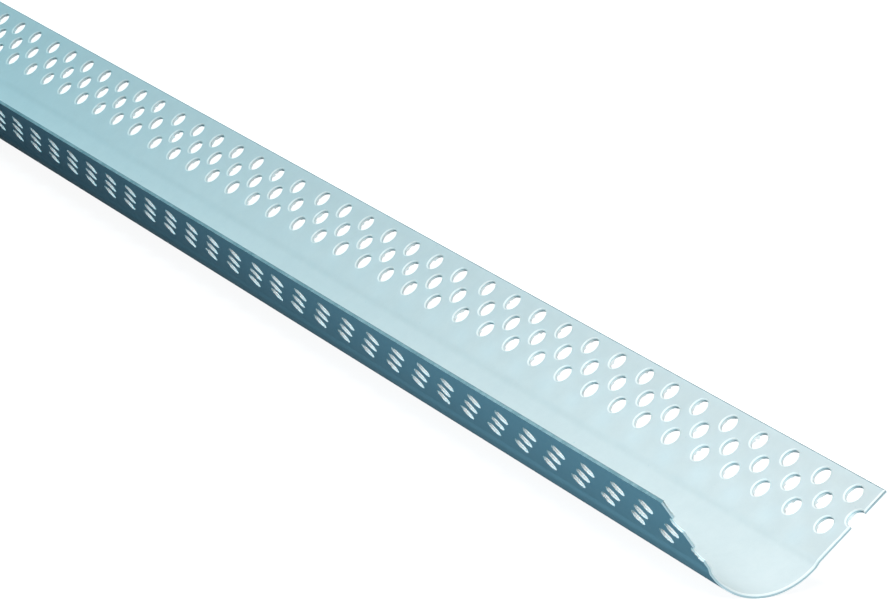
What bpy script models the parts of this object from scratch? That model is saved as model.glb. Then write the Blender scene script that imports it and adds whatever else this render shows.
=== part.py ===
"""Bullnose drywall corner bead: one extruded strip of white vinyl.

Lies nose down on the floor, its length along X, the hollow side up.
The end that the photograph shows is at +X. Its far flange is on the +Y side.
Units in the constants are millimetres; the mesh is made in metres.
"""
import math

import bmesh
import bpy
from mathutils import Matrix, Vector

MM = 0.001

# Stock
LENGTH = 1219.2            # four foot length
WALL = 0.9                 # vinyl thickness
NOSE_INNER_RADIUS = 19.05  # three quarter inch bullnose
NOSE_SEGMENTS = 17         # odd, so the nose lies on a side of its polygon, not a corner
OPENING_ANGLE = 88.0       # the two flanges close in a little on the board
FLANGE_WIDTH = 24.5        # free edge to the start of the nose
STEP_LENGTH = 1.8          # short ramp between flange and nose
STEP_DEPTH = 0.45          # flange sits this much inside the nose, for the mud

# Punched holes
HOLE_DIAMETER = 4.8        # three sixteenths of an inch
HOLE_SIDES = 4             # a diamond of the round hole's area
PITCH = 12.7
ROW_SPACING = 5.0
COLUMNS_PER_STROKE = 7     # the punch takes seven columns at a time
LEAST_BITE = 1.0           # a hole that the saw would graze by less is left out

# +Y flange: distances from the +X end and from the free edge
FAR_FIRST_COLUMN = 7.0
FAR_EDGE_TO_ROW = 4.5
FAR_MIDDLE_ROW = -0.5      # the middle row lies half a pitch nearer the +X end
FAR_COLUMNS_BEFORE = 0     # columns of the first stroke lost past the +X end
FAR_FEED_SLIP = (0.0, -1.3, -0.3, 1.2, 3.0, 4.3)     # along the bead, by stroke
FAR_SIDE_SLIP = (0.0, -0.1, 0.6, 1.0, 0.5, 0.5)      # towards the nose, by stroke

# -Y flange, punched separately; the saw runs through its first column
NEAR_FIRST_COLUMN = -0.3
NEAR_EDGE_TO_ROW = 8.0
NEAR_MIDDLE_ROW = 0.5
NEAR_COLUMNS_BEFORE = 5
NEAR_FEED_SLIP = (0.6, -0.8, -2.3, -4.0, -3.9, -3.2)
NEAR_SIDE_SLIP = (-0.2, -0.7, -1.0, -1.2, -1.1, -0.8)

# Slope of each flange, which is also the nose's arc on each side of its lowest line
SLOPE = math.radians(90.0 - OPENING_ANGLE / 2.0)


def fresh_collection(name):
    for old in list(bpy.data.objects):
        bpy.data.objects.remove(old, do_unlink=True)
    coll = bpy.data.collections.new(name)
    bpy.context.scene.collection.children.link(coll)
    return coll


def nose_centre_height():
    """Height of the nose's centre while its lowest side lies on the floor, in mm."""
    return NOSE_INNER_RADIUS * math.cos(SLOPE / NOSE_SEGMENTS) + WALL


def on_nose(angle):
    """(y, z) of a point of the nose's inner face, by its angle from the lowest line."""
    return NOSE_INNER_RADIUS * math.sin(angle), nose_centre_height() - NOSE_INNER_RADIUS * math.cos(angle)


def on_flange(side, along, inward):
    """(y, z) of a point by a flange's own measures.

    along runs up the flange from the end of the nose arc, and
    inward from the plane that touches the nose's inner face there.
    """
    y, z = on_nose(SLOPE)
    y += along * math.cos(SLOPE) - inward * math.sin(SLOPE)
    z += along * math.sin(SLOPE) + inward * math.cos(SLOPE)
    return side * y, z


def inner_line():
    """The section's inner face, from the -Y free edge round the nose to the +Y one."""
    near = [on_flange(-1, FLANGE_WIDTH, STEP_DEPTH), on_flange(-1, STEP_LENGTH, STEP_DEPTH)]
    nose = [on_nose(SLOPE * (2.0 * i / NOSE_SEGMENTS - 1.0)) for i in range(NOSE_SEGMENTS + 1)]
    far = [on_flange(1, STEP_LENGTH, STEP_DEPTH), on_flange(1, FLANGE_WIDTH, STEP_DEPTH)]
    return near + nose + far


def extruded_bead(coll):
    """The inner face drawn out to the full length, with the wall put on outside it."""
    bm = bmesh.new()
    line = [bm.verts.new((-LENGTH / 2.0 * MM, y * MM, z * MM)) for y, z in inner_line()]
    edges = [bm.edges.new(pair) for pair in zip(line, line[1:])]
    drawn = bmesh.ops.extrude_edge_only(bm, edges=edges)["geom"]
    far_end = [item for item in drawn if isinstance(item, bmesh.types.BMVert)]
    bmesh.ops.translate(bm, verts=far_end, vec=(LENGTH * MM, 0.0, 0.0))
    # every face looks into the hollow
    bmesh.ops.recalc_face_normals(bm, faces=bm.faces)
    lowest = min(bm.faces, key=lambda face: face.calc_center_median().z)
    if lowest.normal.z < 0.0:
        bmesh.ops.reverse_faces(bm, faces=bm.faces)
    mesh = bpy.data.meshes.new("corner_bead")
    bm.to_mesh(mesh)
    bm.free()
    obj = bpy.data.objects.new("corner_bead", mesh)
    coll.objects.link(obj)

    wall = obj.modifiers.new("wall", 'SOLIDIFY')
    wall.thickness = WALL * MM
    wall.offset = -1.0
    wall.use_even_offset = True
    return obj


def slip(table, stroke):
    """The strokes drift one way along the table and then back again."""
    last = len(table) - 1
    k = stroke % (2 * last)
    return table[k] if k <= last else table[2 * last - k]


def hole_centres(first, edge, middle, before, feed, sideways):
    """(distance from the +X end, distance from the free edge) of every hole."""
    out = []
    reach = HOLE_DIAMETER / 2.0 - LEAST_BITE
    for c in range(int(LENGTH / PITCH) + 3):
        stroke = int((c + before) // COLUMNS_PER_STROKE)
        for row in (0, 1, 2):
            s = first + PITCH * (c + middle * (row == 1)) + slip(feed, stroke)
            e = edge + ROW_SPACING * row + slip(sideways, stroke)
            if -reach < s < LENGTH + reach:
                out.append((s, e))
    return out


def hole_cutters(coll, name, side, centres):
    """One prism through the wall at each place, all in one object."""
    # a polygon of the same area as the round hole
    n = HOLE_SIDES
    r = HOLE_DIAMETER / 2.0 * math.sqrt(2.0 * math.pi / (n * math.sin(2.0 * math.pi / n)))
    turn = Matrix.Rotation(SLOPE if side > 0 else math.pi - SLOPE, 4, 'X')
    bm = bmesh.new()
    for s, e in centres:
        y, z = on_flange(side, FLANGE_WIDTH - e, STEP_DEPTH - WALL / 2.0)
        place = Matrix.Translation(Vector((LENGTH / 2.0 - s, y, z)) * MM)
        bmesh.ops.create_cone(bm, cap_ends=True, segments=n, radius1=r * MM, radius2=r * MM,
                              depth=4.0 * WALL * MM, matrix=place @ turn)
    mesh = bpy.data.meshes.new(name)
    bm.to_mesh(mesh)
    bm.free()
    cutter = bpy.data.objects.new(name, mesh)
    coll.objects.link(cutter)
    cutter.hide_render = True
    cutter.display_type = 'WIRE'
    return cutter


def vinyl():
    mat = bpy.data.materials.new("vinyl")
    mat.use_nodes = True
    bsdf = mat.node_tree.nodes["Principled BSDF"]
    bsdf.inputs["Base Color"].default_value = (0.62, 0.76, 0.79, 1.0)
    bsdf.inputs["Roughness"].default_value = 0.45
    return mat


bead_coll = fresh_collection("drywall_corner_bead")
cutter_coll = bpy.data.collections.new("cutters")
bpy.context.scene.collection.children.link(cutter_coll)

bead = extruded_bead(bead_coll)
bead.data.materials.append(vinyl())
for label, side, centres in (
        ("far_flange_punch", 1, hole_centres(
            FAR_FIRST_COLUMN, FAR_EDGE_TO_ROW, FAR_MIDDLE_ROW,
            FAR_COLUMNS_BEFORE, FAR_FEED_SLIP, FAR_SIDE_SLIP)),
        ("near_flange_punch", -1, hole_centres(
            NEAR_FIRST_COLUMN, NEAR_EDGE_TO_ROW, NEAR_MIDDLE_ROW,
            NEAR_COLUMNS_BEFORE, NEAR_FEED_SLIP, NEAR_SIDE_SLIP))):
    punch = hole_cutters(cutter_coll, label, side, centres)
    cut = bead.modifiers.new(label, 'BOOLEAN')
    cut.operation = 'DIFFERENCE'
    cut.solver = 'EXACT'
    cut.object = punch
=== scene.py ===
"""Bullnose drywall corner bead: one strip of extruded vinyl, nose down with its hollow side up.

The end that the photograph shows is at +X. The bead's sizes are in millimetres, and are turned into
metres where they are used. The floor, the lamps and the camera are placed in metres.
"""
import math

import bmesh
import bpy
from mathutils import Euler, Matrix, Vector, noise


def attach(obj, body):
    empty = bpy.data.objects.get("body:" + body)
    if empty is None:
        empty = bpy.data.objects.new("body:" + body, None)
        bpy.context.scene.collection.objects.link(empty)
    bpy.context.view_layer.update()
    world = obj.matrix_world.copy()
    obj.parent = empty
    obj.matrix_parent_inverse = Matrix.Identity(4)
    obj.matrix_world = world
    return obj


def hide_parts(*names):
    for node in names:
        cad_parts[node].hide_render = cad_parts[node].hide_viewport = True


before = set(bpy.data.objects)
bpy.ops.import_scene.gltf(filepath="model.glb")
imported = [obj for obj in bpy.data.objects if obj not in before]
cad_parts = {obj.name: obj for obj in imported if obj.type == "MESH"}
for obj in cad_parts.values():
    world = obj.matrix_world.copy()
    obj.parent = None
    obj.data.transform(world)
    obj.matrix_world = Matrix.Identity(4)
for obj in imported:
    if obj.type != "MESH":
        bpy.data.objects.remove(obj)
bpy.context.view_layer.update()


# Corner bead
# A strip of white vinyl, extruded through a die to one even wall: a round nose, and on each side of it
# a short ramp up to a flat flange. It is drawn as one sheet along the hollow side and thickened outwards.
# The saw that cuts it to length drags the inner edge of each end over.

MM = 0.001
LENGTH = 1219.2
WALL = 0.9
NOSE_RADIUS = 19.05        # inside
NOSE_HALF_ANGLE = 46.0     # degrees of arc on each side of the lowest line
FLANGE = 24.46             # from the end of the nose arc to the free edge
RAMP = 2.4                 # length of the ramp between nose and flange
RAMP_RISE = 0.45           # the flange lies this much further in than the nose
FREE_EDGE = 0.25           # the trimming knife leaves a small dull chamfer
SAWN_ROLL = 0.4            # where the saw enters
BURR = 0.15                # where the saw leaves
NOSE_STEPS = 30            # on each side of the lowest line
RAMP_STEPS = 8
CROSS_CUTS = 63            # keep the long faces from being needles
NOSE_CENTRE = Vector((0.0, 0.0, NOSE_RADIUS + WALL))


def up_flange(side):
    """Direction from the nose to a free edge; side is 1 for the far flange and -1 for the near one."""
    half = math.radians(NOSE_HALF_ANGLE)
    return Vector((0.0, side * math.cos(half), math.sin(half)))


def into_hollow(side):
    """Direction square to a flange, on the side of the wall board."""
    half = math.radians(NOSE_HALF_ANGLE)
    return Vector((0.0, -side * math.sin(half), math.cos(half)))


def on_flange(side, x, along, inward):
    """A point by a flange's own measures: up it from the nose arc's end, and in from the nose's face."""
    return (Vector((x, 0.0, NOSE_CENTRE.z)) - into_hollow(side) * NOSE_RADIUS
            + up_flange(side) * along + into_hollow(side) * inward) * MM


def ramp_rise(along):
    """How far the face has stepped in, this far up from the end of the nose arc."""
    t = min(1.0, max(0.0, along / RAMP))
    return RAMP_RISE * t * t * (3 - 2 * t)


def place_in_section(place):
    """Millimetres along the flange from the end of the nose arc, and behind the hollow side's face."""
    side = 1 if place.y > 0 else -1
    spoke = Vector((0.0, place.y / MM, place.z / MM - NOSE_CENTRE.z))
    along = spoke.dot(up_flange(side))
    if along < 0:
        return along, spoke.length - NOSE_RADIUS
    return along, -spoke.dot(into_hollow(side)) - NOSE_RADIUS + ramp_rise(along)


def faces_along(face):
    """True on a sawn end, which looks straight along the bead."""
    return abs(face.normal.x) > 0.999


def extruded_strip():
    """Half the section from its lowest line up, mirrored, drawn out along the bead and thickened."""
    bm = bmesh.new()
    lowest = bm.verts.new(Vector((-LENGTH / 2, 0.0, WALL)) * MM)
    bmesh.ops.spin(bm, geom=[lowest], cent=NOSE_CENTRE * MM, axis=(1, 0, 0),
                   angle=math.radians(NOSE_HALF_ANGLE), steps=NOSE_STEPS)
    last = max(bm.verts, key=lambda v: v.co.y)
    for i in range(1, RAMP_STEPS + 1):
        along = RAMP * i / RAMP_STEPS
        last = bmesh.ops.extrude_vert_indiv(bm, verts=[last])["verts"][0]
        last.co = on_flange(1, -LENGTH / 2, along, ramp_rise(along))
    last = bmesh.ops.extrude_vert_indiv(bm, verts=[last])["verts"][0]
    last.co = on_flange(1, -LENGTH / 2, FLANGE, RAMP_RISE)
    bmesh.ops.mirror(bm, geom=bm.verts[:] + bm.edges[:], axis='Y', merge_dist=1e-6)
    drawn = bmesh.ops.extrude_edge_only(bm, edges=bm.edges[:])["geom"]
    seen_end = [g for g in drawn if isinstance(g, bmesh.types.BMVert)]
    bmesh.ops.translate(bm, verts=seen_end, vec=(LENGTH * MM, 0, 0))
    lines = [e for e in bm.edges if abs(e.verts[0].co.x - e.verts[1].co.x) > LENGTH / 2 * MM]
    bmesh.ops.subdivide_edges(bm, edges=lines, cuts=CROSS_CUTS, use_grid_fill=True)
    # faces look into the hollow, then the wall is put on behind them
    bmesh.ops.recalc_face_normals(bm, faces=bm.faces)
    middle = min(bm.faces, key=lambda f: f.calc_center_median().z)
    if middle.normal.z < 0:
        bmesh.ops.reverse_faces(bm, faces=bm.faces)
    knife = [e for e in bm.edges if e.is_boundary and e.verts[0].co.z == e.verts[1].co.z]
    bmesh.ops.solidify(bm, geom=bm.faces[:], thickness=WALL * MM)
    bmesh.ops.bevel(bm, geom=knife, offset=FREE_EDGE * MM, offset_type='OFFSET', segments=1,
                    profile=0.5, affect='EDGES', material=-1)
    at_end = (LENGTH / 2 - 0.01) * MM
    at_inner_face = 0.05
    saw = [e for e in bm.edges if all(abs(v.co.x) > at_end for v in e.verts)
           and place_in_section((e.verts[0].co + e.verts[1].co) / 2)[1] < at_inner_face]
    bmesh.ops.bevel(bm, geom=saw, offset=SAWN_ROLL * MM, offset_type='OFFSET', segments=2,
                    profile=0.5, affect='EDGES', material=-1)
    bm.normal_update()
    bmesh.ops.inset_region(bm, faces=[f for f in bm.faces if faces_along(f)],
                           thickness=BURR * MM, use_even_offset=True)
    return bm


def as_object(name, bm):
    mesh = bpy.data.meshes.new(name)
    bm.to_mesh(mesh)
    bm.free()
    obj = bpy.data.objects.new(name, mesh)
    bpy.context.scene.collection.objects.link(obj)
    return obj


strip = as_object("corner_bead_strip", extruded_strip())


# Punched holes
# Three staggered rows of round holes on each flange, for the joint compound to grip. They are punched
# from the hollow side, seven columns to a stroke, and each stroke lands a little off the one before it.
# The strip is still moving under the punch, so the side of a hole that trails is torn at the bottom.

HOLE_RADIUS = 2.4
PUNCH_SIDES = 20           # few, because there are nearly six hundred holes
LIP_WIDTH = 0.4            # rolled lip where the punch enters
LIP_DEPTH = 0.3
CLEAN_CUT = 0.5            # depth at which the cut turns into a tear
TEAR = 0.7                 # how far the worn tip leans in
TEETH = 5.0                # how close together the worn tip's teeth are
PITCH = 12.7
ROW_SPACING = 5.0
COLUMNS = 7                # to a stroke
LEAST_BITE = 1.0           # a hole that an end would graze by less is left out
EDGE_STOP = 24.5           # the rows are measured from here, just clear of the free edge
# how far each stroke is off along the bead and towards the nose, from the end that shows
FAR_FEED = (0.0, -1.3, -0.3, 1.2, 3.0, 4.3)
FAR_SIDEWAYS = (0.0, -0.1, 0.6, 1.0, 0.5, 0.5)
NEAR_FEED = (0.6, -0.8, -2.3, -4.0, -3.9, -3.2)
NEAR_SIDEWAYS = (-0.2, -0.7, -1.0, -1.2, -1.1, -0.8)


def stroke_slip(table, stroke):
    """The strokes drift along the table and back again."""
    last = len(table) - 1
    k = stroke % (2 * last)
    return table[k] if k <= last else table[2 * last - k]


def hole_places(first, edge, middle, before, feed, sideways):
    """Distance from the +X end and from the edge stop, for every hole of one flange.

    first and edge place the first column and row, middle is the shift of the middle row in pitches,
    and before counts the columns of the first stroke that fell past the +X end.
    """
    places = []
    for column in range(int(LENGTH / PITCH) + 3):
        stroke = (column + before) // COLUMNS
        for row in (0, 1, 2):
            back = first + PITCH * (column + middle * (row == 1)) + stroke_slip(feed, stroke)
            down = edge + ROW_SPACING * row + stroke_slip(sideways, stroke)
            if LEAST_BITE - HOLE_RADIUS < back < LENGTH + HOLE_RADIUS - LEAST_BITE:
                places.append((back, down))
    return places


far_holes = hole_places(first=7.0, edge=4.5, middle=-0.5, before=0, feed=FAR_FEED, sideways=FAR_SIDEWAYS)
near_holes = hole_places(first=-0.3, edge=8.0, middle=0.5, before=5, feed=NEAR_FEED, sideways=NEAR_SIDEWAYS)


def flange_turn(side, back, down):
    """Stands a shape made about Z on the flange, with Z into the hollow."""
    turn = Matrix((Vector((side, 0, 0)), up_flange(side), into_hollow(side))).transposed().to_4x4()
    return Matrix.Translation(on_flange(side, LENGTH / 2 - back, EDGE_STOP - down, RAMP_RISE)) @ turn


def one_punch():
    """A round shank with a flared shoulder: the shoulder stands just over the inner face, the tip below."""
    bm = bmesh.new()
    over, flare = 0.04, 0.1    # the lip's slope runs on this far past the inner face
    under = 0.3                # the tip comes out this far past the outer one
    # height over the inner face and radius, from the shoulder down to the tip
    rings = ((over, HOLE_RADIUS + LIP_WIDTH + flare),
             (-LIP_DEPTH / 2, HOLE_RADIUS + 0.05),
             (-LIP_DEPTH, HOLE_RADIUS),
             (-CLEAN_CUT, HOLE_RADIUS),
             (-WALL - under, HOLE_RADIUS))
    height, radius = rings[0]
    ring = bmesh.ops.create_circle(bm, segments=PUNCH_SIDES, radius=radius * MM)["verts"]
    bmesh.ops.translate(bm, verts=ring, vec=(0, 0, height * MM))
    edges = bm.edges[:]
    for next_height, next_radius in rings[1:]:
        grown = bmesh.ops.extrude_edge_only(bm, edges=edges)["geom"]
        ring = [g for g in grown if isinstance(g, bmesh.types.BMVert)]
        edges = [g for g in grown if isinstance(g, bmesh.types.BMEdge) and all(v in ring for v in g.verts)]
        bmesh.ops.scale(bm, verts=ring, vec=(next_radius / radius, next_radius / radius, 1))
        bmesh.ops.translate(bm, verts=ring, vec=(0, 0, (next_height - height) * MM))
        height, radius = next_height, next_radius
    bmesh.ops.holes_fill(bm, edges=bm.edges[:])
    bmesh.ops.recalc_face_normals(bm, faces=bm.faces)
    return bm


def wear_tip(mesh, side, number):
    """Leans the tip's rim in, mostly on the side away from the end that shows, and roughens it."""
    for vert in mesh.vertices:
        if vert.co.z < -WALL * MM:
            outward = Vector((vert.co.x, vert.co.y, 0.0)).normalized()
            # the trailing side leans in, and is far rougher than the rest
            trailing = max(0.0, -side * outward.x)
            rough = max(0.0, noise.noise(Vector((outward.x * TEETH, outward.y * TEETH, number * 1.7))))
            lean = TEAR * (0.4 * trailing + rough * (0.2 + 3.4 * trailing))
            vert.co -= outward * lean * MM


def punch_set():
    """The same punch once for each hole, its tip worn a little differently each time."""
    shape = bpy.data.meshes.new("one_punch")
    one_punch().to_mesh(shape)
    bm = bmesh.new()
    for side, places in ((1, far_holes), (-1, near_holes)):
        for number, (back, down) in enumerate(places):
            placed = shape.copy()
            wear_tip(placed, side, number + 0.5 * side)
            placed.transform(flange_turn(side, back, down))
            bm.from_mesh(placed)
            bpy.data.meshes.remove(placed)
    bpy.data.meshes.remove(shape)
    return bm


tool = as_object("punch_set", punch_set())
cut = strip.modifiers.new("punched", 'BOOLEAN')
cut.operation = 'DIFFERENCE'
cut.solver = 'MANIFOLD'
cut.object = tool
punched = bpy.data.meshes.new_from_object(strip.evaluated_get(bpy.context.evaluated_depsgraph_get()))
punched.name = "corner_bead_vinyl"
bead = bpy.data.objects.new("corner_bead_vinyl", punched)
bpy.context.scene.collection.objects.link(bead)
for helper in (tool, strip):
    bpy.data.objects.remove(helper, do_unlink=True)


# Vinyl
# Rigid vinyl, satin and very pale, with a trace of the die's lines along it, faint mottling and a few
# specks. It is whiter where the punch and the saw have strained it, partly from the strain and partly as
# painted highlight and painted light. The cut band inside each hole and the trimmed free edges are
# darker teal, which is painted shade.

# places on the tint's ramp, from dark teal painted shade to whitened with painted highlight
SHADE_ON_KNIFE_CHAMFER, SHADE_ON_FREE_EDGE, SHADE_IN_CUT, SAWN, EXTRUDED, TORN_AND_PAINTED_LIGHT, STRAIN_AND_HIGHLIGHT = 0.0, 0.05, 0.25, 0.42, 0.5, 0.7, 1.0
BURR_HIGHLIGHT_FROM = 8.0          # the burr is painted pale, a painted highlight, from here out to the near flange


def place_for_wear_and_painted_light(face):
    """The face's place on the ramp, from where it lies and which way it looks."""
    along, depth = place_in_section(face.center)
    if faces_along(face):
        # the outer burr on the near side is painted pale, a painted highlight; the rest of the sawn end
        # keeps the sawn tone
        burr_highlight = depth > WALL - BURR and face.center.y < -BURR_HIGHLIGHT_FROM * MM
        return STRAIN_AND_HIGHLIGHT if burr_highlight else SAWN
    cut_across = abs(face.normal.x) > 0.02
    if cut_across:
        # the rolled lip of a hole is whitened, partly from the strain and partly as painted highlight
        if depth < LIP_DEPTH:
            return STRAIN_AND_HIGHLIGHT
        # the cut band of a hole's wall is a darker teal, painted shade; the torn band below it is paler,
        # partly from the strain and partly painted light
        return SHADE_IN_CUT if depth < CLEAN_CUT else TORN_AND_PAINTED_LIGHT
    if along < FLANGE - FREE_EDGE:
        return EXTRUDED
    # the trimmed free edge and its knife chamfer are painted shade, dark teal
    return SHADE_ON_KNIFE_CHAMFER if depth < FREE_EDGE else SHADE_ON_FREE_EDGE


# each face's place on the tint's ramp: its wear, and painted shade or painted highlight where the ramp
# holds them
wear_and_painted_light = bead.data.attributes.new("wear_and_painted_light", 'FLOAT', 'FACE')
wear_and_painted_light.data.foreach_set("value", [place_for_wear_and_painted_light(face) for face in bead.data.polygons])


def lies_in_flange(face):
    """True on both flat faces of a flange."""
    side = 1 if face.center.y > 0 else -1
    return abs(abs(face.normal.dot(into_hollow(side))) - 1.0) <= 1e-5


# the nose, the ramps and the edges of the cuts are smooth, the flat flanges and the sawn ends are not
bead.data.set_sharp_from_angle(angle=math.radians(50))
bead.data.polygons.foreach_set("use_smooth", [
    not faces_along(face) and not lies_in_flange(face) for face in bead.data.polygons])


def vinyl_finish():
    mat = bpy.data.materials.new("vinyl_satin")
    mat.use_nodes = True
    tree = mat.node_tree
    surface = tree.nodes["Principled BSDF"]
    surface.inputs["Specular IOR Level"].default_value = 0.003
    coords = tree.nodes.new("ShaderNodeTexCoord")

    # mottling, in patches of a few millimetres
    mottle = tree.nodes.new("ShaderNodeTexNoise")
    mottle.inputs["Scale"].default_value = 140.0
    mottle.inputs["Detail"].default_value = 6.0
    mottle.inputs["Roughness"].default_value = 0.8
    tree.links.new(coords.outputs["Object"], mottle.inputs["Vector"])
    uneven = tree.nodes.new("ShaderNodeMapRange")
    uneven.inputs["From Min"].default_value = 0.3
    uneven.inputs["From Max"].default_value = 0.7
    uneven.inputs["To Min"].default_value = -0.08
    uneven.inputs["To Max"].default_value = 0.08
    tree.links.new(mottle.outputs["Fac"], uneven.inputs["Value"])

    # a few dark specks, about half a millimetre across
    grit = tree.nodes.new("ShaderNodeTexVoronoi")
    grit.inputs["Scale"].default_value = 160.0
    tree.links.new(coords.outputs["Object"], grit.inputs["Vector"])
    specks = tree.nodes.new("ShaderNodeMapRange")
    specks.inputs["From Min"].default_value = 0.02
    specks.inputs["From Max"].default_value = 0.05
    specks.inputs["To Min"].default_value = -0.2
    specks.inputs["To Max"].default_value = 0.0
    tree.links.new(grit.outputs["Distance"], specks.inputs["Value"])

    # both shift the face's place on the tint's ramp, which carries its strain and its painted shade and
    # highlights
    wear_and_light_attribute = tree.nodes.new("ShaderNodeAttribute")
    wear_and_light_attribute.attribute_name = "wear_and_painted_light"
    blotched = tree.nodes.new("ShaderNodeMath")
    tree.links.new(wear_and_light_attribute.outputs["Fac"], blotched.inputs[0])
    tree.links.new(uneven.outputs["Result"], blotched.inputs[1])
    specked = tree.nodes.new("ShaderNodeMath")
    tree.links.new(blotched.outputs["Value"], specked.inputs[0])
    tree.links.new(specks.outputs["Result"], specked.inputs[1])

    tint = tree.nodes.new("ShaderNodeValToRGB")
    stops = tint.color_ramp.elements
    # 0 is dark teal painted shade for the free edges, 0.25 a teal painted shade for the holes' cut band,
    # and 1 near white for strain and painted highlight
    stops[0].position, stops[0].color = 0.0, (0.16, 0.31, 0.36, 1)
    stops[1].position, stops[1].color = 1.0, (0.90, 0.99, 1.0, 1)
    stops.new(0.25).color = (0.50, 0.72, 0.76, 1)
    stops.new(0.4).color = (0.655, 0.77, 0.80, 1)
    stops.new(0.6).color = (0.71, 0.82, 0.845, 1)
    tree.links.new(specked.outputs["Value"], tint.inputs["Fac"])
    tree.links.new(tint.outputs["Color"], surface.inputs["Base Color"])

    # the die's lines: long along the bead and about a millimetre apart
    along = tree.nodes.new("ShaderNodeMapping")
    along.inputs["Scale"].default_value = (6.0, 900.0, 900.0)
    tree.links.new(coords.outputs["Object"], along.inputs["Vector"])
    die_lines = tree.nodes.new("ShaderNodeTexNoise")
    die_lines.inputs["Scale"].default_value = 1.0
    die_lines.inputs["Detail"].default_value = 2.0
    tree.links.new(along.outputs["Vector"], die_lines.inputs["Vector"])
    satin = tree.nodes.new("ShaderNodeMapRange")
    satin.inputs["To Min"].default_value = 0.55
    satin.inputs["To Max"].default_value = 0.7
    tree.links.new(die_lines.outputs["Fac"], satin.inputs["Value"])
    tree.links.new(satin.outputs["Result"], surface.inputs["Roughness"])

    relief = tree.nodes.new("ShaderNodeBump")
    relief.inputs["Strength"].default_value = 0.25
    relief.inputs["Distance"].default_value = 0.00004
    tree.links.new(die_lines.outputs["Fac"], relief.inputs["Height"])
    tree.links.new(relief.outputs["Normal"], surface.inputs["Normal"])
    return mat


bead.data.materials.clear()
bead.data.materials.append(vinyl_finish())
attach(bead, "root")
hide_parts("corner_bead")


# Floor
# A plain white studio floor. It is white to the eye and in reflections, and keeps a faint soft shadow;
# the light that it throws back up under the bead is dim and cool.

def seen_switch(tree):
    """1 for camera, glossy and transmission rays, 0 for the rest."""
    rays = tree.nodes.new("ShaderNodeLightPath")
    first = tree.nodes.new("ShaderNodeMath")
    first.operation = 'MAXIMUM'
    tree.links.new(rays.outputs["Is Camera Ray"], first.inputs[0])
    tree.links.new(rays.outputs["Is Glossy Ray"], first.inputs[1])
    both = tree.nodes.new("ShaderNodeMath")
    both.operation = 'MAXIMUM'
    tree.links.new(first.outputs["Value"], both.inputs[0])
    tree.links.new(rays.outputs["Is Transmission Ray"], both.inputs[1])
    return both.outputs["Value"]


def floor_finish():
    mat = bpy.data.materials.new("white_floor")
    mat.use_nodes = True
    tree = mat.node_tree
    tree.nodes.remove(tree.nodes["Principled BSDF"])
    output = tree.nodes["Material Output"]
    bounce = tree.nodes.new("ShaderNodeBsdfDiffuse")
    bounce.inputs["Color"].default_value = (0.010, 0.058, 0.094, 1)
    paper = tree.nodes.new("ShaderNodeBsdfDiffuse")
    paper.inputs["Color"].default_value = (0.35, 0.35, 0.35, 1)

    # the glow is a little lower round the bead, so that its shadow shows there
    shadow_along, shadow_across = 1.4, 0.6
    coords = tree.nodes.new("ShaderNodeTexCoord")
    reach = tree.nodes.new("ShaderNodeMapping")
    reach.inputs["Scale"].default_value = (1.0 / shadow_along, 1.0 / shadow_across, 1.0)
    tree.links.new(coords.outputs["Object"], reach.inputs["Vector"])
    round_bead = tree.nodes.new("ShaderNodeTexGradient")
    round_bead.gradient_type = 'SPHERICAL'
    tree.links.new(reach.outputs["Vector"], round_bead.inputs["Vector"])
    level = tree.nodes.new("ShaderNodeMapRange")
    level.inputs["From Max"].default_value = 0.6
    level.inputs["To Min"].default_value = 1.0
    level.inputs["To Max"].default_value = 0.93
    tree.links.new(round_bead.outputs["Fac"], level.inputs["Value"])
    glow = tree.nodes.new("ShaderNodeEmission")
    tree.links.new(level.outputs["Result"], glow.inputs["Strength"])
    seen = tree.nodes.new("ShaderNodeAddShader")
    tree.links.new(glow.outputs["Emission"], seen.inputs[0])
    tree.links.new(paper.outputs["BSDF"], seen.inputs[1])

    choose = tree.nodes.new("ShaderNodeMixShader")
    tree.links.new(seen_switch(tree), choose.inputs["Fac"])
    tree.links.new(bounce.outputs["BSDF"], choose.inputs[1])
    tree.links.new(seen.outputs["Shader"], choose.inputs[2])
    tree.links.new(choose.outputs["Shader"], output.inputs["Surface"])
    return mat


ground = bmesh.new()
bmesh.ops.create_circle(ground, cap_ends=True, segments=64, radius=12.0)
floor = as_object("studio_floor", ground)
floor.data.materials.append(floor_finish())


# Studio light
# A soft warm lamp above the end that shows, a cool one over the rest of the strip, and three weak
# cool ones low down: in front of the sawn end, behind the far flange and beside the near one.

def soft_lamp(name, place, aim, width, depth, power, colour):
    data = bpy.data.lights.new(name, 'AREA')
    data.shape = 'RECTANGLE'
    data.size = width
    data.size_y = depth
    data.energy = power
    data.color = colour
    lamp = bpy.data.objects.new(name, data)
    lamp.location = place
    lamp.rotation_euler = (Vector(aim) - Vector(place)).to_track_quat('-Z', 'Y').to_euler()
    bpy.context.scene.collection.objects.link(lamp)


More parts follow.
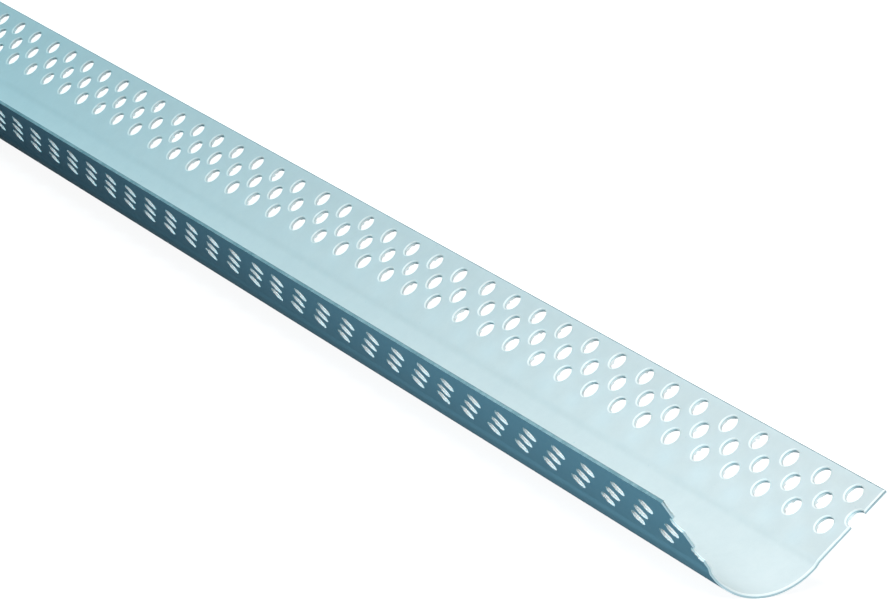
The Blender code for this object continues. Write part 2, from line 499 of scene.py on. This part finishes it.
soft_lamp("key_softbox", place=(0.82, -0.24, 0.60), aim=(0.60, 0.0, 0.01),
          width=0.35, depth=0.35, power=4.4, colour=(1.0, 0.785, 0.72))
soft_lamp("rear_softbox", place=(-0.05, -0.30, 1.0), aim=(-0.05, 0.0, 0.01),
          width=0.7, depth=0.4, power=5.5, colour=(0.30, 0.86, 1.0))
soft_lamp("front_fill", place=(1.15, -0.10, 0.06), aim=(0.61, 0.0, 0.01),
          width=0.2, depth=0.1, power=1.6, colour=(0.55, 0.90, 1.0))
soft_lamp("back_fill", place=(-0.05, 1.2, 0.2), aim=(-0.05, 0.0, 0.01),
          width=1.0, depth=0.3, power=4.0, colour=(0.50, 0.84, 1.0))
soft_lamp("low_fill", place=(0.585, -0.32, 0.02), aim=(0.585, -0.03, 0.01),
          width=0.05, depth=0.03, power=0.25, colour=(0.38, 0.78, 1.0))

room = bpy.data.worlds.new("cool_room")
room.use_nodes = True
tree = room.node_tree
cool = tree.nodes["Background"]
cool.inputs["Color"].default_value = (0.005, 0.012, 0.016, 1)
white = tree.nodes.new("ShaderNodeBackground")
white.inputs["Color"].default_value = (1, 1, 1, 1)
choose = tree.nodes.new("ShaderNodeMixShader")
tree.links.new(seen_switch(tree), choose.inputs["Fac"])
tree.links.new(cool.outputs["Background"], choose.inputs[1])
tree.links.new(white.outputs["Background"], choose.inputs[2])
tree.links.new(choose.outputs["Shader"], tree.nodes["World Output"].inputs["Surface"])
bpy.context.scene.world = room
bpy.context.scene.view_settings.view_transform = 'Standard'


# Camera
# Looks down on the hollow side from in front of the near flange, beyond the end that shows,
# through a long lens, and is rolled by about eight degrees, as the photograph is framed.

lens = bpy.data.cameras.new("camera")
lens.sensor_width = 36.0
lens.lens = 157.106
lens.clip_start = 0.01
camera = bpy.data.objects.new("camera", lens)
turn = Euler([math.radians(angle) for angle in (75.2146, -7.9723, 59.5956)]).to_matrix().to_4x4()
camera.matrix_world = Matrix.Translation((1.263175, -0.510802, 0.273676)) @ turn
bpy.context.scene.collection.objects.link(camera)
bpy.context.scene.camera = camera
